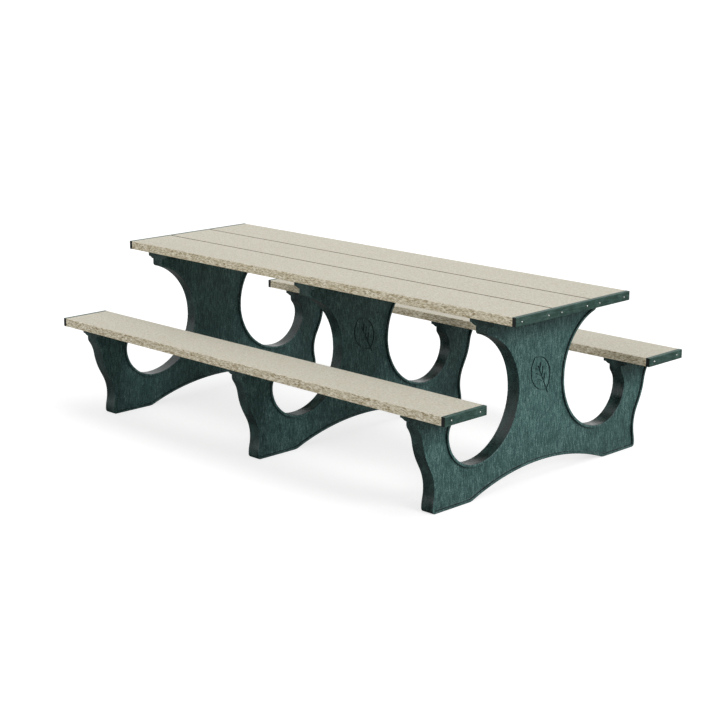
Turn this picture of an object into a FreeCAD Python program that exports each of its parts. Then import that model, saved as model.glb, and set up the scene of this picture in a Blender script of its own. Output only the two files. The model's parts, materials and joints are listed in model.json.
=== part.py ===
import FreeCAD, Part
import math
import os

# Eight-foot picnic table in recycled plastic, with two attached benches and three moulded legs.
# Millimetres. Origin on the floor under the middle of the tabletop, +X along the table,
# +Z up, the front bench at -Y. The table is symmetric about the planes X = 0 and Y = 0.

V = FreeCAD.Vector

# ---------------------------------------------------------------- driving dimensions
table_length = 2438.4           # 96 in over the end caps
table_height = 772.7
seat_height = 452.7
board_width = 241.3             # 9.5 in
board_thickness = 38.1          # 1.5 in
board_gap = 6.35                # between tabletop boards
board_edge_radius = 2.5
cap_thickness = 19.05           # 0.75 in strip that closes the board ends
cap_edge_bevel = 1.2
bench_centre_y = 651.6

leg_spacing = 1030.0            # middle leg to end leg
web_thickness = 63.5            # 2.5 in leg panel
flange_width = 127.0            # 5 in, across the panel
table_flange_edge = 20.1        # straight edge of the flange under the tabletop
seat_flange_edge = 16.0
flange_slope_drop = 9.0         # the flange's underside falls this far towards the panel
flange_corner = 3.0
table_ear_y = 352.0             # half length of the flange under the tabletop
seat_ear_inner_y = 543.0
seat_ear_outer_y = 752.0

# Leg profile, in the YZ plane. Points are (y, z) on the +Y half.
arch_rise = 81.0
arch_radius = 1200.0
arch_end_radius = 60.0
foot_y = 663.5
foot_radius = 16.0
side_inflection = (658.5, 56.5)
waist = (653.5, 97.0)
flare_start = (674.5, 180.0)
flare_length = 34.7             # straight stretch of the side above flare_start
shoulder = (721.0, 300.0)
outer_ear_start = (746.5, 361.0)
inner_ear_corner = (549.0, 359.0)
inner_ear_slope = 9.0           # short straight stretch below that corner
bite_outer = (571.3, 303.0)     # the bite is the round legroom opening beside the trunk
bite_lower = (538.0, 215.0)
bite_bottom = (408.0, 154.0)
bite_inner = (148.0, 414.0)
table_ear_start = (342.0, 670.2)
inner_ear_drop = 17.0           # height of the inner seat ear's lower corner

# Moulded rim round both faces of the leg, standing proud of a sunken field
rim_width = 10.5
rim_height = 10.0
rim_outer_radius = 2.5
rim_inner_radius = 1.2
field_corner_radius = 7.0
field_fillet = 2.4              # where the field meets the rim's inner wall

# Leaf outline moulded into the trunk, a plain generic decoration
leaf_centre_z = 455.0
leaf_length = 164.0
leaf_half_width = 58.0
leaf_line = 6.0
leaf_depth = 4.5
leaf_tilt = 28.0
leaf_stem = 20.0                # the midrib's length below the leaf
leaf_midrib = 122.0             # and inside it
leaf_vein_start = 36.0          # from the leaf's base up to the first pair of veins
leaf_vein_pitch = 30.0
leaf_vein_lengths = [40.0, 44.0, 34.0]
leaf_vein_spread = 0.75         # a vein's way sideways for each unit upwards

# Fasteners
lag_radius = 3.95               # 5/16 in hex-head lag screw
lag_length = 44.45              # 1.75 in
lag_tip = 7.0
lag_head_flats = 12.7
lag_head_height = 5.5
washer_radius = 9.5
washer_hole_radius = 4.4
washer_thickness = 1.6
lag_offset_x = 47.6             # from the leg's middle plane, clear of the web
table_lag_offset_y = 76.0       # from each board's centre line
bench_lag_offset_y = 62.0
spot_face_radius = 10.5
spot_face_depth = 12.0          # from the board's underside to the spot face
clearance = 0.1                 # radial, of a screw in its pilot hole
clearance_hole = 0.45           # radial, of a screw in a flange or cap

cap_screw_radius = 2.4
cap_screw_length = 58.0
cap_screw_head_radius = 3.5
cap_screw_head_height = 1.3
cap_screw_socket = 1.5
cap_screw_offset = 82.55        # either side of each board's centre line
tabletop_screw_drop = 2.5       # the tabletop's cap screws sit this far below mid-thickness

# ---------------------------------------------------------------- derived places
board_underside_table = table_height - board_thickness
board_underside_seat = seat_height - board_thickness
board_pitch = board_width + board_gap
tabletop_width = 2 * board_pitch + board_width
board_length = table_length - 2 * cap_thickness

leg_places = {"left": -leg_spacing, "middle": 0.0, "right": leg_spacing}
tabletop_places = {"front": -board_pitch, "middle": 0.0, "rear": board_pitch}
bench_places = {"front": -bench_centre_y, "rear": bench_centre_y}
end_places = {"left": -1, "right": 1}


# ---------------------------------------------------------------- a path of tangent arcs
class TangentPath:
    """Edges in the YZ plane, each one leaving in the direction in which the last one arrived."""

    def __init__(self, point, heading):
        self.point = point
        self.heading = heading
        self.edges = []

    def place(self, point):
        return V(0, point[0], point[1])

    def line(self, length):
        end = (
            self.point[0] + length * math.cos(self.heading),
            self.point[1] + length * math.sin(self.heading),
        )
        self.line_to(end)

    def line_to(self, end):
        self.edges.append(Part.LineSegment(self.place(self.point), self.place(end)).toShape())
        self.heading = math.atan2(end[1] - self.point[1], end[0] - self.point[0])
        self.point = end

    def arc_to(self, end):
        """The one arc that leaves along the heading and passes through end."""
        along_y = end[0] - self.point[0]
        along_z = end[1] - self.point[1]
        chord = math.hypot(along_y, along_z)
        half_turn = math.atan2(along_z, along_y) - self.heading
        half_turn = math.atan2(math.sin(half_turn), math.cos(half_turn))
        bulge = chord / 2 * math.tan(half_turn / 2)
        middle = (
            (self.point[0] + end[0]) / 2 + bulge * along_z / chord,
            (self.point[1] + end[1]) / 2 - bulge * along_y / chord,
        )
        arc = Part.Arc(self.place(self.point), self.place(middle), self.place(end))
        self.edges.append(arc.toShape())
        self.heading += 2 * half_turn
        self.point = end

    def arc_onto_upright(self, y, heading):
        """An arc that ends on the upright line at y, going straight up or down."""
        radius = (y - self.point[0]) / (math.sin(heading) - math.sin(self.heading))
        rise = radius * (math.cos(self.heading) - math.cos(heading))
        self.arc_to((y, self.point[1] + rise))
        self.heading = heading


# ---------------------------------------------------------------- leg profile
def arch_end():
    """Where the arch under the leg turns into the blend to the foot, and where the foot begins."""
    centre_distance = arch_radius + arch_end_radius
    centre_rise = arch_end_radius + arch_radius - arch_rise
    blend_y = math.sqrt(centre_distance ** 2 - centre_rise ** 2)
    share = arch_radius / centre_distance
    joint = (share * blend_y, share * centre_rise + arch_rise - arch_radius)
    return joint, (blend_y, 0.0)


def leg_half_profile():
    up = math.pi / 2
    path = TangentPath((0.0, arch_rise), 0.0)
    arch_joint, foot_start = arch_end()
    path.arc_to(arch_joint)
    path.arc_to(foot_start)
    path.line_to((foot_y - foot_radius, 0.0))
    path.arc_to((foot_y, foot_radius))
    path.arc_to(side_inflection)
    path.arc_to(waist)
    path.arc_to(flare_start)
    path.line(flare_length)
    path.arc_to(shoulder)
    path.arc_to(outer_ear_start)
    path.arc_onto_upright(seat_ear_outer_y, up)
    path.line_to((seat_ear_outer_y, board_underside_seat))
    path.line_to((seat_ear_inner_y, board_underside_seat))
    path.line_to((seat_ear_inner_y, inner_ear_corner[1] + inner_ear_drop))
    path.arc_to(inner_ear_corner)
    path.line(inner_ear_slope)
    path.arc_to(bite_outer)
    path.arc_to(bite_lower)
    path.arc_to(bite_bottom)
    path.arc_to(bite_inner)
    path.arc_to(table_ear_start)
    path.arc_onto_upright(table_ear_y, up)
    path.line_to((table_ear_y, board_underside_table))
    path.line_to((0.0, board_underside_table))
    return path.edges


def leg_profile_face():
    half = Part.Wire(leg_half_profile())
    other_half = half.mirror(V(0, 0, 0), V(0, 1, 0))
    wire = Part.Wire(Part.__sortEdges__(half.Edges + other_half.Edges))
    return Part.Face(wire)


def yz_rectangle(y_low, y_high, z_low, z_high):
    corners = [(y_low, z_low), (y_high, z_low), (y_high, z_high), (y_low, z_high), (y_low, z_low)]
    return Part.Face(Part.makePolygon([V(0, y, z) for y, z in corners]))


def single_face(shape):
    """The one face left when the coplanar pieces of a boolean result are joined."""
    return shape.removeSplitter().Faces[0]


def sunken_field(profile):
    """The area inside the rim: the profile shrunk, ended below the flanges, corners rounded."""
    field = profile.makeOffset2D(-rim_width)
    table_top = board_underside_table - table_flange_edge - flange_slope_drop - rim_width
    seat_top = board_underside_seat - seat_flange_edge - flange_slope_drop - rim_width
    trunk = yz_rectangle(-table_ear_y, table_ear_y, 0, table_top)
    arms = yz_rectangle(-seat_ear_outer_y, seat_ear_outer_y, 0, seat_top)
    field = single_face(field.common(trunk.fuse(arms)))
    core = field.makeOffset2D(-field_corner_radius)
    return core.makeOffset2D(field_corner_radius)


# ---------------------------------------------------------------- leg solids
def is_near(value, target):
    return abs(value - target) < 0.01


def web_solid(profile):
    """The panel itself, with the outer edges of its rims rounded."""
    half = web_thickness / 2
    web = profile.extrude(V(web_thickness, 0, 0))
    web.translate(V(-half, 0, 0))
    rounded = []
    for edge in web.Edges:
        box = edge.BoundBox
        on_a_face = is_near(abs(box.XMin), half) and is_near(box.XLength, 0)
        on_top = is_near(box.ZMin, board_underside_seat) or is_near(box.ZMin, board_underside_table)
        if on_a_face and not on_top:
            rounded.append(edge)
    return web.makeFillet(rim_outer_radius, rounded)


def flat_edges_at(solid, x):
    """The edges that lie wholly in the plane at x."""
    boxes = [(edge, edge.BoundBox) for edge in solid.Edges]
    return [edge for edge, box in boxes if is_near(box.XMin, x) and is_near(box.XMax, x)]


def field_cutter(field):
    """What is taken out of the face that looks to +X, its floor edge rounded."""
    half = web_thickness / 2
    cutter = field.extrude(V(rim_height, 0, 0))
    cutter.translate(V(half - rim_height, 0, 0))
    return cutter.makeFillet(field_fillet, flat_edges_at(cutter, half - rim_height))


def sink_fields(web, field):
    """Cut the field into both faces and round the rims' inner edges."""
    half = web_thickness / 2
    near = field_cutter(field)
    far = near.mirror(V(0, 0, 0), V(1, 0, 0))
    web = web.cut(near).cut(far)
    lips = []
    for x in (-half, half):
        lips += [edge for edge in flat_edges_at(web, x) if is_on_field_outline(edge, field)]
    return web.makeFillet(rim_inner_radius, lips)


def is_on_field_outline(edge, field):
    middle = edge.valueAt((edge.FirstParameter + edge.LastParameter) / 2)
    point = Part.Vertex(V(0, middle.y, middle.z))
    return is_near(field.OuterWire.distToShape(point)[0], 0)


def flange(y_low, y_high, top, edge_height):
    """A plate across the panel whose underside slopes down to the panel in a shallow S."""
    half = flange_width / 2
    foot_x = web_thickness / 2 - 1.0
    edge_low = top - edge_height
    foot_z = edge_low - flange_slope_drop
    middle_x = (half - flange_corner + foot_x) / 2

    def side(sign):
        def at(x, z):
            return V(sign * x, y_low, z)

        start = at(half - flange_corner, edge_low)
        slope = Part.BezierCurve()
        slope.setPoles([start, at(middle_x, edge_low), at(middle_x, foot_z), at(foot_x, foot_z)])
        bend = flange_corner * (1 - math.sqrt(0.5))
        corner = Part.Arc(at(half, edge_low + flange_corner), at(half - bend, edge_low + bend), start)
        upright = Part.LineSegment(at(half, top), at(half, edge_low + flange_corner))
        return [upright.toShape(), corner.toShape(), slope.toShape()]

    edges = side(1) + side(-1)
    edges.append(Part.LineSegment(V(-half, y_low, top), V(half, y_low, top)).toShape())
    edges.append(Part.LineSegment(V(-foot_x, y_low, foot_z), V(foot_x, y_low, foot_z)).toShape())
    face = Part.Face(Part.Wire(Part.__sortEdges__(edges)))
    return face.extrude(V(0, y_high - y_low, 0))


def leaf_lens(grow):
    """The leaf's outline as a face, made larger all round by grow."""
    half_width = leaf_half_width + grow
    half_length = leaf_length / 2 + grow
    left = Part.Arc(V(0, 0, -half_length), V(0, -half_width, 0), V(0, 0, half_length))
    right = Part.Arc(V(0, 0, half_length), V(0, half_width, 0), V(0, 0, -half_length))
    return Part.Face(Part.Wire([left.toShape(), right.toShape()]))


def leaf_strip(start, direction, length):
    """A narrow straight strip from start, as wide as the leaf's line."""
    along = direction.normalize()
    across = V(0, -along.z, along.y) * (leaf_line / 2)
    end = start + along * length
    corners = [start - across, end - across, end + across, start + across, start - across]
    return Part.Face(Part.makePolygon(corners))


def leaf_drawing():
    """The leaf's outline, midrib and veins as faces in the plane X = 0."""
    base = -leaf_length / 2
    outline = leaf_lens(leaf_line / 2).cut(leaf_lens(-leaf_line / 2))
    strips = [leaf_strip(V(0, 0, base - leaf_stem), V(0, 0, 1), leaf_stem + leaf_midrib)]
    for step, length in enumerate(leaf_vein_lengths):
        root = V(0, 0, base + leaf_vein_start + step * leaf_vein_pitch)
        for side in (-1, 1):
            strips.append(leaf_strip(root, V(0, side * leaf_vein_spread, 1), length))
    drawing = outline.multiFuse(strips)
    drawing.rotate(V(0, 0, 0), V(1, 0, 0), leaf_tilt)
    drawing.translate(V(0, 0, leaf_centre_z))
    return drawing


def add_leaf(web, side):
    """Sink the leaf into the field that looks towards +X or -X."""
    floor = web_thickness / 2 - rim_height
    cutter = leaf_drawing().extrude(V(leaf_depth, 0, 0))
    start = floor - leaf_depth if side > 0 else -floor
    cutter.translate(V(start, 0, 0))
    return web.cut(cutter)


def lag_places(support):
    """Lag screw positions (x, y) about a leg, for the tabletop or for one bench."""
    if support == "tabletop":
        centres = list(tabletop_places.values())
        offset = table_lag_offset_y
    else:
        centres = [bench_places[support]]
        offset = bench_lag_offset_y
    places = []
    for centre in centres:
        for side_x in (-lag_offset_x, lag_offset_x):
            for side_y in (-offset, offset):
                places.append((side_x, centre + side_y))
    return places


def underside_of(support):
    return board_underside_table if support == "tabletop" else board_underside_seat


def upright(radius, x, y, z_low, z_high):
    return Part.makeCylinder(radius, z_high - z_low, V(x, y, z_low))


def flange_holes():
    """Clearance holes and flat spot faces for every lag screw of one leg."""
    holes = []
    for support in ("tabletop", "front", "rear"):
        top = underside_of(support)
        seat = top - spot_face_depth
        for x, y in lag_places(support):
            holes.append(upright(lag_radius + clearance_hole, x, y, seat - 1, top + 1))
            holes.append(upright(spot_face_radius, x, y, seat - 2 * flange_slope_drop, seat))
    return holes


def plain_leg():
    profile = leg_profile_face()
    body = sink_fields(web_solid(profile), sunken_field(profile))
    table_flange = flange(-table_ear_y, table_ear_y, board_underside_table, table_flange_edge)
    seat_flange = flange(seat_ear_inner_y, seat_ear_outer_y, board_underside_seat, seat_flange_edge)
    other_seat_flange = seat_flange.mirror(V(0, 0, 0), V(0, 1, 0))
    body = body.multiFuse([table_flange, seat_flange, other_seat_flange]).removeSplitter()
    return body.cut(Part.makeCompound(flange_holes()))


# ---------------------------------------------------------------- boards and caps
def rounded_board(centre_y, top):
    board = Part.makeBox(
        board_length, board_width, board_thickness,
        V(-board_length / 2, centre_y - board_width / 2, top - board_thickness),
    )
    long_edges = [edge for edge in board.Edges if is_near(edge.BoundBox.XLength, board_length)]
    return board.makeFillet(board_edge_radius, long_edges)


def lag_pilots(support, centre_y):
    """Pilot holes in one board for the lag screws of all three legs."""
    under = underside_of(support)
    depth = lag_length - spot_face_depth
    holes = []
    for leg_x in leg_places.values():
        for x, y in lag_places(support):
            if abs(y - centre_y) < board_width / 2:
                holes.append(upright(lag_radius + clearance, leg_x + x, y, under - 1, under + depth))
    return holes


def along_x(radius, side, y, z, x_low, x_high):
    """A cylinder along X, mirrored to -X when side is -1."""
    start = V(side * x_low, y, z)
    return Part.makeCylinder(radius, x_high - x_low, start, V(side, 0, 0))


def cap_screw_places(centre_y):
    return [centre_y - cap_screw_offset, centre_y + cap_screw_offset]


def cap_screw_height(support):
    if support == "tabletop":
        return table_height - board_thickness / 2 - tabletop_screw_drop
    return seat_height - board_thickness / 2


def cap_pilots(support, centre_y):
    z = cap_screw_height(support)
    outer_face = table_length / 2
    inner_end = outer_face - cap_screw_length
    holes = []
    for side in end_places.values():
        for y in cap_screw_places(centre_y):
            hole = along_x(cap_screw_radius + clearance, side, y, z, inner_end, outer_face)
            holes.append(hole)
    return holes


def board(support, centre_y, top):
    holes = lag_pilots(support, centre_y) + cap_pilots(support, centre_y)
    return rounded_board(centre_y, top).cut(Part.makeCompound(holes))


def end_cap(side, y_low, y_high, top, screw_ys, screw_z):
    """A strip over the board ends, its outer edges bevelled."""
    inner_face = table_length / 2 - cap_thickness
    x_low = inner_face if side > 0 else -table_length / 2
    cap = Part.makeBox(
        cap_thickness, y_high - y_low, board_thickness,
        V(x_low, y_low, top - board_thickness),
    )
    outer_x = side * table_length / 2
    outer_edges = [
        edge for edge in cap.Edges
        if is_near(edge.BoundBox.XMin, outer_x) and is_near(edge.BoundBox.XMax, outer_x)
    ]
    cap = cap.makeChamfer(cap_edge_bevel, outer_edges)
    for y in screw_ys:
        hole = along_x(
            cap_screw_radius + clearance_hole, side, y, screw_z,
            inner_face - 1, table_length / 2 + 1,
        )
        cap = cap.cut(hole)
    return cap


# ---------------------------------------------------------------- fasteners
def lag_screw(x, y, top):
    """Hex head under the washer, shank up into the board, ending in a point."""
    seat = top - spot_face_depth - washer_thickness
    corner_radius = lag_head_flats / math.sqrt(3)
    corners = [
        V(x + corner_radius * math.cos(k * math.pi / 3), y + corner_radius * math.sin(k * math.pi / 3),
          seat - lag_head_height)
        for k in range(7)
    ]
    head = Part.Face(Part.makePolygon(corners)).extrude(V(0, 0, lag_head_height))
    shank = upright(lag_radius, x, y, seat, seat + lag_length - lag_tip)
    tip = Part.makeCone(lag_radius, lag_radius / 4, lag_tip, V(x, y, seat + lag_length - lag_tip))
    return head.multiFuse([shank, tip]).removeSplitter()


def washer(x, y, top):
    seat = top - spot_face_depth
    ring = upright(washer_radius, x, y, seat - washer_thickness, seat)
    return ring.cut(upright(washer_hole_radius, x, y, seat - washer_thickness - 1, seat + 1))


def cap_screw(side, y, z):
    """Low domed head with a square socket, shank through the cap into the board's end."""
    face = table_length / 2
    dome_radius = (cap_screw_head_radius ** 2 + cap_screw_head_height ** 2) / (2 * cap_screw_head_height)
    ball = Part.makeSphere(dome_radius, V(side * (face + cap_screw_head_height - dome_radius), y, z))
    slab = along_x(cap_screw_head_radius, side, y, z, face, face + cap_screw_head_height)
    head = ball.common(slab)
    socket = Part.makeBox(
        cap_screw_socket, cap_screw_socket, cap_screw_socket,
        V(-cap_screw_socket / 2, -cap_screw_socket / 2, -cap_screw_socket / 2),
    )
    socket.translate(V(side * (face + cap_screw_head_height), y, z))
    shank = along_x(
        cap_screw_radius, side, y, z,
        face - cap_screw_length + cap_screw_radius, face,
    )
    return head.cut(socket).fuse(shank).removeSplitter()


# ---------------------------------------------------------------- export
def export(name, shape):
    shape.exportStep("parts/" + name + ".step")


def export_legs():
    leaf_sides = {"left": -1, "middle": 1, "right": 1}
    plain = plain_leg()
    for name, x in leg_places.items():
        shape = add_leaf(plain, leaf_sides[name])
        shape.translate(V(x, 0, 0))
        export("leg_" + name, shape)


def export_tabletop():
    for name, y in tabletop_places.items():
        export("tabletop_board_" + name, board("tabletop", y, table_height))
    screw_ys = [y for centre in tabletop_places.values() for y in cap_screw_places(centre)]
    half = tabletop_width / 2
    z = cap_screw_height("tabletop")
    for name, side in end_places.items():
        export("tabletop_end_cap_" + name, end_cap(side, -half, half, table_height, screw_ys, z))
        screws = [cap_screw(side, y, z) for y in screw_ys]
        export("tabletop_cap_screws_" + name, Part.makeCompound(screws))


def export_benches():
    half = board_width / 2
    for bench, y in bench_places.items():
        z = cap_screw_height(bench)
        export("bench_board_" + bench, board(bench, y, seat_height))
        screw_ys = cap_screw_places(y)
        for end, side in end_places.items():
            name = bench + "_" + end
            cap = end_cap(side, y - half, y + half, seat_height, screw_ys, z)
            export("bench_end_cap_" + name, cap)
            screws = [cap_screw(side, screw_y, z) for screw_y in screw_ys]
            export("bench_cap_screws_" + name, Part.makeCompound(screws))


def export_lag_screws():
    for support in ("tabletop", "front", "rear"):
        top = underside_of(support)
        prefix = support if support == "tabletop" else "bench_" + support
        for name, leg_x in leg_places.items():
            places = [(leg_x + x, y) for x, y in lag_places(support)]
            screws = [lag_screw(x, y, top) for x, y in places]
            washers = [washer(x, y, top) for x, y in places]
            export(prefix + "_lag_screws_" + name, Part.makeCompound(screws))
            export(prefix + "_washers_" + name, Part.makeCompound(washers))


os.makedirs("parts", exist_ok=True)
export_legs()
export_tabletop()
export_benches()
export_lag_screws()
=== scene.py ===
import json
import math

import bpy
import bmesh
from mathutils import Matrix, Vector

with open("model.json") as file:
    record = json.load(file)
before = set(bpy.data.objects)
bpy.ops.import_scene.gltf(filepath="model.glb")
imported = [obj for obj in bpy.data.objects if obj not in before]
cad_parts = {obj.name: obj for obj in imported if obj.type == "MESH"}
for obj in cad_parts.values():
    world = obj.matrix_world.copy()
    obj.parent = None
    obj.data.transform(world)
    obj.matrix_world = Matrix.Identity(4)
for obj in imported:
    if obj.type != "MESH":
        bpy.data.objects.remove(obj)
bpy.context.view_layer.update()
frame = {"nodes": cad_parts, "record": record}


def srgb(red, green, blue):
    """A colour given in 0-255 display values, as linear light."""
    def linear(value):
        share = value / 255
        return share / 12.92 if share <= 0.04045 else ((share + 0.055) / 1.055) ** 2.4
    return (linear(red), linear(green), linear(blue))


# ---------------------------------------------------------------- camera
CAMERA_AZIMUTH = 45.0           # degrees from the front, towards the right end
CAMERA_ELEVATION = 13.98
CAMERA_DISTANCE = 7.826
CAMERA_TARGET = Vector((-0.0026, -0.0026, 0.3260))
CAMERA_LENS = 85.46             # mm, on a sensor 36 mm wide
SENSOR_WIDTH = 36.0

# ---------------------------------------------------------------- light
SKY_STRENGTH = 0.42
SKY_SEEN = 1.0                  # the white studio as the camera and glossy surfaces see it
# Each lamp: the direction towards it, its power, and how many degrees wide it looks
LAMPS = {
    "key_light": ((0.2, 0.3, 1.0), 1.05, 50.0),
    "side_light": ((1.0, 0.1, 0.62), 1.48, 28.0),
    "front_light": ((-0.1, -1.0, 0.12), 1.3, 26.0),
}

# ---------------------------------------------------------------- floor
FLOOR_SIDE = 240.0
FLOOR_SHADE = srgb(134, 134, 132)  # what the floor throws back at the table
FLOOR_SHADE_LOW = srgb(128, 128, 126)
FLOOR_GLOW = 0.72               # seen by the camera only, keeps the floor pale
FLOOR_WEIGHT = 0.42             # share of real shading in what the camera sees

# ---------------------------------------------------------------- boards
BETWEEN_BOARDS = 0.3            # nearer the middle plane than this, a board's edge faces another board
BETWEEN_SOFTNESS = 0.01         # over this distance past it, the painted shade in the gaps fades out

# ---------------------------------------------------------------- legs
PAINTED_FOOT_SHADE = 0.72               # painted shade: share of its colour that the plastic keeps at the floor
FOOT_SHADE_TOP = 0.25           # height from which it keeps all of it, where the painted shade ends


# ---------------------------------------------------------------- material helper
class Recipe:
    """A node material: add() makes a node, and set or link its inputs by name or number."""

    def __init__(self, name):
        self.material = bpy.data.materials.new(name)
        self.material.use_nodes = True
        self.tree = self.material.node_tree
        self.tree.nodes.clear()

    def add(self, kind, inputs=None, **settings):
        node = self.tree.nodes.new(kind)
        for key, value in settings.items():
            setattr(node, key, value)
        for key, value in (inputs or {}).items():
            self.put(node.inputs[key], value)
        return node

    def put(self, socket, value):
        if isinstance(value, bpy.types.NodeSocket):
            self.tree.links.new(value, socket)
        else:
            socket.default_value = value

    def noise(self, coords, scale, detail=3.0, roughness=0.55):
        node = self.add("ShaderNodeTexNoise", {
            "Vector": coords, "Scale": scale, "Detail": detail, "Roughness": roughness,
        })
        return node.outputs["Fac"]

    def cells(self, coords, scale, randomness=1.0):
        """A random number per cell of a scattered pattern."""
        node = self.add("ShaderNodeTexVoronoi", {
            "Vector": coords, "Scale": scale, "Randomness": randomness,
        })
        split = self.add("ShaderNodeSeparateColor", {"Color": node.outputs["Color"]})
        return split.outputs["Red"]

    def stretch(self, coords, factors):
        node = self.add("ShaderNodeMapping", {"Vector": coords, "Scale": factors})
        return node.outputs["Vector"]

    def ramp(self, value, stops):
        """stops is a list of (position, colour)."""
        node = self.add("ShaderNodeValToRGB", {"Fac": value})
        elements = node.color_ramp.elements
        while len(elements) < len(stops):
            elements.new(0.5)
        for element, (position, colour) in zip(elements, stops):
            element.position = position
            element.color = (*colour, 1.0)
        return node.outputs["Color"]

    def mix(self, factor, first, second, blend="MIX"):
        node = self.add("ShaderNodeMix", data_type="RGBA", blend_type=blend)
        self.put(node.inputs[0], factor)
        self.put(node.inputs[6], first)
        self.put(node.inputs[7], second)
        return node.outputs[2]

    def math(self, operation, first, second=0.5, third=0.5, clamp=False):
        node = self.add("ShaderNodeMath", operation=operation, use_clamp=clamp)
        for socket, value in zip(node.inputs, (first, second, third)):
            self.put(socket, value)
        return node.outputs[0]

    def remap(self, value, low, high, new_low, new_high):
        node = self.add("ShaderNodeMapRange", {
            "Value": value, "From Min": low, "From Max": high,
            "To Min": new_low, "To Max": new_high,
        })
        return node.outputs["Result"]

    def bump(self, height, distance, strength=1.0, normal=None):
        node = self.add("ShaderNodeBump", {"Height": height, "Distance": distance, "Strength": strength})
        if normal is not None:
            self.put(node.inputs["Normal"], normal)
        return node.outputs["Normal"]

    def finish(self, inputs):
        shader = self.add("ShaderNodeBsdfPrincipled", inputs)
        output = self.add("ShaderNodeOutputMaterial")
        self.tree.links.new(shader.outputs[0], output.inputs["Surface"])
        return self.material


def facing(recipe, axis, low=0.6, high=0.9):
    """1 where the surface looks along the axis, either way, and 0 where it is edge-on to it."""
    coords = recipe.add("ShaderNodeTexCoord")
    split = recipe.add("ShaderNodeSeparateXYZ", {"Vector": coords.outputs["Normal"]})
    along = recipe.math("ABSOLUTE", split.outputs[axis])
    return recipe.remap(along, low, high, 0.0, 1.0)


def inside_band(recipe, place, axis, limit, softness):
    """1 where the place is nearer to the table's middle plane than limit, along one axis."""
    split = recipe.add("ShaderNodeSeparateXYZ", {"Vector": place})
    distance = recipe.math("ABSOLUTE", split.outputs[axis])
    return recipe.remap(distance, limit, limit + softness, 1.0, 0.0)


# ---------------------------------------------------------------- materials
def board_top_colour(recipe, place):
    """Fine, even beige grain with pale grey specks."""
    specks = recipe.cells(recipe.stretch(place, (0.5, 1.0, 1.0)), 330.0)
    grain = recipe.noise(place, 520.0, 3.0, 0.65)
    clumps = recipe.noise(recipe.stretch(place, (0.5, 1.0, 1.0)), 150.0, 3.0, 0.6)
    value = recipe.math("MULTIPLY_ADD", specks, 0.22, recipe.math("MULTIPLY", grain, 0.38))
    value = recipe.math("MULTIPLY_ADD", clumps, 0.40, value)
    return recipe.ramp(value, [
        (0.28, srgb(164, 155, 132)),
        (0.42, srgb(191, 186, 169)),
        (0.56, srgb(204, 200, 186)),
        (0.76, srgb(222, 219, 209)),
    ])


def board_edge_colour(recipe, place):
    """Uncovered sides: brown, olive and straw flecks drawn out along the board."""
    along = recipe.stretch(place, (0.34, 1.0, 1.0))
    specks = recipe.cells(along, 300.0)
    flecks = recipe.noise(along, 165.0, 4.0, 0.68)
    value = recipe.math("MULTIPLY_ADD", specks, 0.28, recipe.math("MULTIPLY", flecks, 0.72))
    return recipe.ramp(value, [
        (0.31, srgb(138, 119, 86)),
        (0.43, srgb(190, 178, 149)),
        (0.54, srgb(216, 207, 182)),
        (0.68, srgb(240, 234, 217)),
    ])


def board_material():
    """Beige recycled plastic lumber: even tops, flecked edges, painted shade on the edges between the
    boards.
    """
    recipe = Recipe("board_recycled_plastic")
    place = recipe.add("ShaderNodeTexCoord").outputs["Object"]
    wide = facing(recipe, "Z")
    tone = recipe.mix(wide, board_edge_colour(recipe, place), board_top_colour(recipe, place))

    blotches = recipe.noise(place, 30.0, 4.0, 0.6)
    stain = recipe.remap(blotches, 0.45, 0.75, 0.0, 0.22)
    warm = recipe.mix(stain, tone, (*srgb(192, 180, 152), 1))
    drift = recipe.noise(recipe.stretch(place, (0.4, 2.0, 2.0)), 2.2, 2.0)
    shade = recipe.ramp(drift, [(0.3, (0.96, 0.96, 0.96)), (0.7, (1.0, 1.0, 1.0))])
    colour = recipe.mix(1.0, warm, shade, "MULTIPLY")

    # Painted shade: board edges that face another board are darkened, standing in for the shade in the
    # gaps between them.
    between = inside_band(recipe, place, "Y", BETWEEN_BOARDS, BETWEEN_SOFTNESS)
    painted_gap_shade = recipe.math("MULTIPLY", between, facing(recipe, "Y", 0.3, 0.8))
    colour = recipe.mix(painted_gap_shade, colour, (*srgb(84, 74, 56), 1))

    pits = recipe.noise(place, 320.0, 5.0, 0.7)
    flakes = recipe.noise(recipe.stretch(place, (0.4, 1.0, 1.0)), 150.0, 3.0, 0.6)
    height = recipe.math("MULTIPLY_ADD", flakes, 0.8, pits)
    depth = recipe.remap(wide, 0.0, 1.0, 1.0, 0.35)
    normal = recipe.bump(recipe.math("MULTIPLY", height, depth), 0.0012, 0.8)
    rough = recipe.remap(pits, 0.3, 0.7, 0.55, 0.75)
    return recipe.finish({
        "Base Color": colour, "Roughness": rough, "Normal": normal,
        "IOR": 1.49, "Specular IOR Level": 0.3,
    })


def leg_field_colour(recipe, place, clouds):
    """The wide faces: short upright streaks and fine pale flecks in teal."""
    streaks = recipe.noise(recipe.stretch(place, (1.0, 1.0, 0.2)), 150.0, 4.0, 0.68)
    flecks = recipe.noise(recipe.stretch(place, (1.0, 1.0, 0.6)), 250.0, 3.0, 0.65)
    value = recipe.math("MULTIPLY_ADD", streaks, 0.42, recipe.math("MULTIPLY", clouds, 0.16))
    value = recipe.math("MULTIPLY_ADD", flecks, 0.42, value)
    return recipe.ramp(value, [
        (0.40, srgb(24, 58, 57)),
        (0.47, srgb(52, 88, 86)),
        (0.53, srgb(76, 114, 111)),
        (0.62, srgb(134, 168, 162)),
    ])


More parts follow.
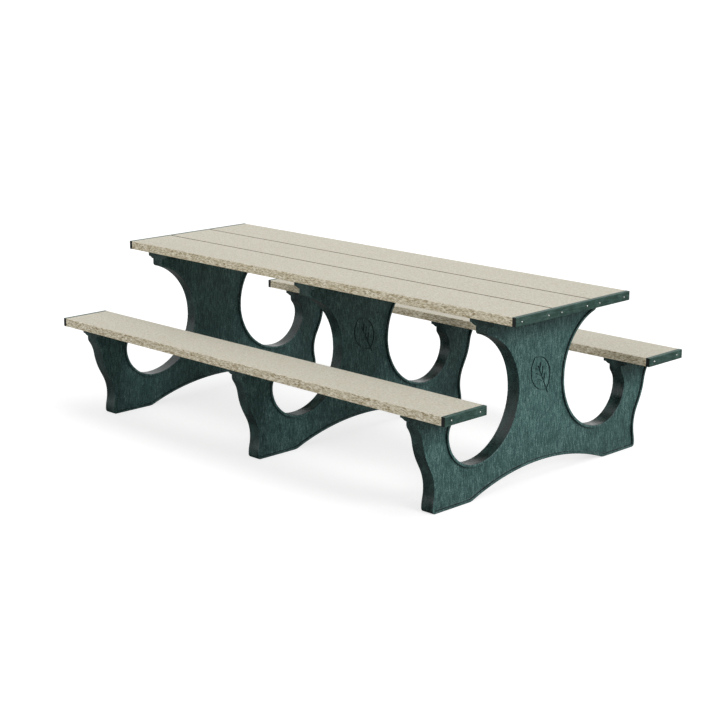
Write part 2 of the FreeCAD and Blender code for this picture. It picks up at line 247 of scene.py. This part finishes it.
def leg_skin_colour(recipe, place, clouds):
    """The moulded sides: nearly black green, scuffed and speckled grey."""
    speckle = recipe.noise(place, 260.0, 3.0, 0.7)
    value = recipe.math("MULTIPLY_ADD", speckle, 0.6, recipe.math("MULTIPLY", clouds, 0.4))
    return recipe.ramp(value, [
        (0.40, srgb(3, 22, 20)),
        (0.50, srgb(18, 42, 40)),
        (0.60, srgb(54, 80, 77)),
    ])


def leg_material():
    """Dark teal moulded plastic: streaky mottled faces, darker glossier skin on every side, and painted
    shade darkening it towards the floor.
    """
    recipe = Recipe("leg_moulded_plastic")
    place = recipe.add("ShaderNodeTexCoord").outputs["Object"]
    face = facing(recipe, "X")
    clouds = recipe.noise(recipe.stretch(place, (1.0, 1.0, 0.6)), 16.0, 5.0, 0.62)
    field = leg_field_colour(recipe, place, clouds)
    colour = recipe.mix(face, leg_skin_colour(recipe, place, clouds), field)
    # Painted shade: the colour is darkened towards the floor, standing in for the shade that falls on
    # the lower legs.
    height = recipe.add("ShaderNodeSeparateXYZ", {"Vector": place}).outputs["Z"]
    shade = recipe.remap(height, 0.0, FOOT_SHADE_TOP, PAINTED_FOOT_SHADE, 1.0)
    colour = recipe.mix(1.0, colour, shade, "MULTIPLY")

    orange_peel = recipe.noise(place, 230.0, 3.0, 0.6)
    normal = recipe.bump(orange_peel, 0.0008, 0.6)
    waves = recipe.noise(recipe.stretch(place, (1.0, 0.35, 0.35)), 45.0, 2.0)
    normal = recipe.bump(waves, 0.004, 0.3, normal)
    gloss = recipe.remap(clouds, 0.3, 0.7, 0.18, 0.38)
    rough = recipe.math("MULTIPLY_ADD", face, 0.30, gloss)
    return recipe.finish({
        "Base Color": colour, "Roughness": rough, "Normal": normal,
        "IOR": 1.49, "Specular IOR Level": 0.5,
    })


def cap_material():
    """Green extruded strip, satin, with drawn lines along it and dark sawn ends."""
    recipe = Recipe("cap_extruded_plastic")
    place = recipe.add("ShaderNodeTexCoord").outputs["Object"]
    lines = recipe.noise(recipe.stretch(place, (1.0, 0.12, 1.0)), 150.0, 3.0, 0.6)
    clouds = recipe.noise(place, 30.0, 4.0, 0.6)
    grain = recipe.noise(place, 260.0, 3.0, 0.65)
    value = recipe.math("MULTIPLY_ADD", lines, 0.34, recipe.math("MULTIPLY", clouds, 0.33))
    value = recipe.math("MULTIPLY_ADD", grain, 0.33, value)
    drawn = recipe.ramp(value, [
        (0.38, srgb(34, 57, 51)),
        (0.50, srgb(54, 80, 73)),
        (0.64, srgb(84, 111, 103)),
    ])
    sawn = recipe.ramp(grain, [(0.35, srgb(5, 10, 9)), (0.65, srgb(20, 28, 26))])
    colour = recipe.mix(facing(recipe, "Y"), drawn, sawn)
    normal = recipe.bump(grain, 0.0007, 0.5)
    rough = recipe.remap(clouds, 0.3, 0.7, 0.40, 0.58)
    return recipe.finish({
        "Base Color": colour, "Roughness": rough, "Normal": normal,
        "IOR": 1.49, "Specular IOR Level": 0.25,
    })


def steel_material(name, dark, light, smooth, rough):
    """Bare metal with a fine spangle, between two greys and two roughnesses."""
    recipe = Recipe(name)
    place = recipe.add("ShaderNodeTexCoord").outputs["Object"]
    spangle = recipe.cells(place, 900.0)
    haze = recipe.noise(place, 400.0, 4.0, 0.6)
    value = recipe.math("MULTIPLY_ADD", spangle, 0.35, recipe.math("MULTIPLY", haze, 0.65))
    colour = recipe.ramp(value, [(0.25, dark), (0.75, light)])
    normal = recipe.bump(haze, 0.00025, 0.5)
    return recipe.finish({
        "Base Color": colour, "Metallic": 1.0,
        "Roughness": recipe.remap(value, 0.3, 0.7, smooth, rough), "Normal": normal,
    })


def paint_nodes():
    """Gives each node the material that its slot in the record names."""
    finishes = {
        "board_plastic": board_material(),
        "leg_plastic": leg_material(),
        "cap_plastic": cap_material(),
        "stainless_screw": steel_material(
            "stainless_steel", (0.55, 0.55, 0.54), (0.82, 0.82, 0.80), 0.22, 0.38),
        "galvanised_screw": steel_material(
            "galvanised_steel", (0.36, 0.37, 0.38), (0.58, 0.59, 0.60), 0.42, 0.6),
    }
    finishes["galvanised_washer"] = finishes["galvanised_screw"]
    slots = {entry["node"]: entry["material_slot"] for entry in frame["record"]["subparts"]}
    for name, node in frame["nodes"].items():
        for holder in node.material_slots:
            holder.material = finishes[slots[name]]


# ---------------------------------------------------------------- stage
def floor_material():
    """Pale to the camera, and a duller grey in the light that it throws back at the table."""
    recipe = Recipe("studio_floor")
    place = recipe.add("ShaderNodeTexCoord").outputs["Object"]
    dust = recipe.noise(place, 3.0, 3.0)
    tint = recipe.ramp(dust, [(0.3, FLOOR_SHADE), (0.7, FLOOR_SHADE_LOW)])
    diffuse = recipe.add("ShaderNodeBsdfDiffuse", {"Color": tint})
    glow = recipe.add("ShaderNodeEmission", {"Color": (1, 1, 1, 1), "Strength": FLOOR_GLOW})
    seen = recipe.add("ShaderNodeBsdfDiffuse", {"Color": (FLOOR_WEIGHT,) * 3 + (1,)})
    pale = recipe.add("ShaderNodeAddShader")
    recipe.put(pale.inputs[0], seen.outputs[0])
    recipe.put(pale.inputs[1], glow.outputs[0])
    path = recipe.add("ShaderNodeLightPath")
    both = recipe.add("ShaderNodeMixShader", {"Fac": path.outputs["Is Camera Ray"]})
    recipe.put(both.inputs[1], diffuse.outputs[0])
    recipe.put(both.inputs[2], pale.outputs[0])
    output = recipe.add("ShaderNodeOutputMaterial")
    recipe.put(output.inputs["Surface"], both.outputs[0])
    return recipe.material


def make_floor():
    mesh = bpy.data.meshes.new("studio_floor")
    shape = bmesh.new()
    bmesh.ops.create_grid(shape, x_segments=4, y_segments=4, size=FLOOR_SIDE / 2)
    shape.to_mesh(mesh)
    shape.free()
    floor = bpy.data.objects.new("studio_floor", mesh)
    floor.data.materials.append(floor_material())
    bpy.context.scene.collection.objects.link(floor)


def aim(thing, place, target):
    thing.location = place
    thing.rotation_euler = (target - Vector(place)).to_track_quat("-Z", "Y").to_euler()


def distant_light(name, towards, power, spread):
    lamp = bpy.data.lights.new(name, "SUN")
    lamp.angle = math.radians(spread)
    lamp.energy = power
    holder = bpy.data.objects.new(name, lamp)
    bpy.context.scene.collection.objects.link(holder)
    aim(holder, towards, Vector((0.0, 0.0, 0.0)))


def make_sky():
    """An even white studio: dimmer as a light than it looks to the camera and in reflections."""
    sky = bpy.data.worlds.new("studio_sky")
    sky.use_nodes = True
    nodes = sky.node_tree.nodes
    links = sky.node_tree.links
    background = nodes["Background"]
    background.inputs["Color"].default_value = (1, 1, 1, 1)
    path = nodes.new("ShaderNodeLightPath")
    seen = nodes.new("ShaderNodeMath")
    seen.operation = "MAXIMUM"
    strength = nodes.new("ShaderNodeMapRange")
    strength.inputs["To Min"].default_value = SKY_STRENGTH
    strength.inputs["To Max"].default_value = SKY_SEEN
    links.new(path.outputs["Is Camera Ray"], seen.inputs[0])
    links.new(path.outputs["Is Glossy Ray"], seen.inputs[1])
    links.new(seen.outputs[0], strength.inputs["Value"])
    links.new(strength.outputs["Result"], background.inputs["Strength"])
    bpy.context.scene.world = sky


def make_light():
    make_sky()
    for name, (towards, power, spread) in LAMPS.items():
        distant_light(name, towards, power, spread)
    bpy.context.scene.view_settings.view_transform = "Standard"


def make_camera():
    azimuth = math.radians(CAMERA_AZIMUTH)
    elevation = math.radians(CAMERA_ELEVATION)
    away = Vector((
        math.sin(azimuth) * math.cos(elevation),
        -math.cos(azimuth) * math.cos(elevation),
        math.sin(elevation),
    ))
    lens = bpy.data.cameras.new("photo_camera")
    lens.lens = CAMERA_LENS
    lens.sensor_width = SENSOR_WIDTH
    lens.clip_end = 500.0
    camera = bpy.data.objects.new("photo_camera", lens)
    bpy.context.scene.collection.objects.link(camera)
    aim(camera, CAMERA_TARGET + CAMERA_DISTANCE * away, CAMERA_TARGET)
    bpy.context.scene.camera = camera


make_camera()
make_light()
make_floor()
paint_nodes()
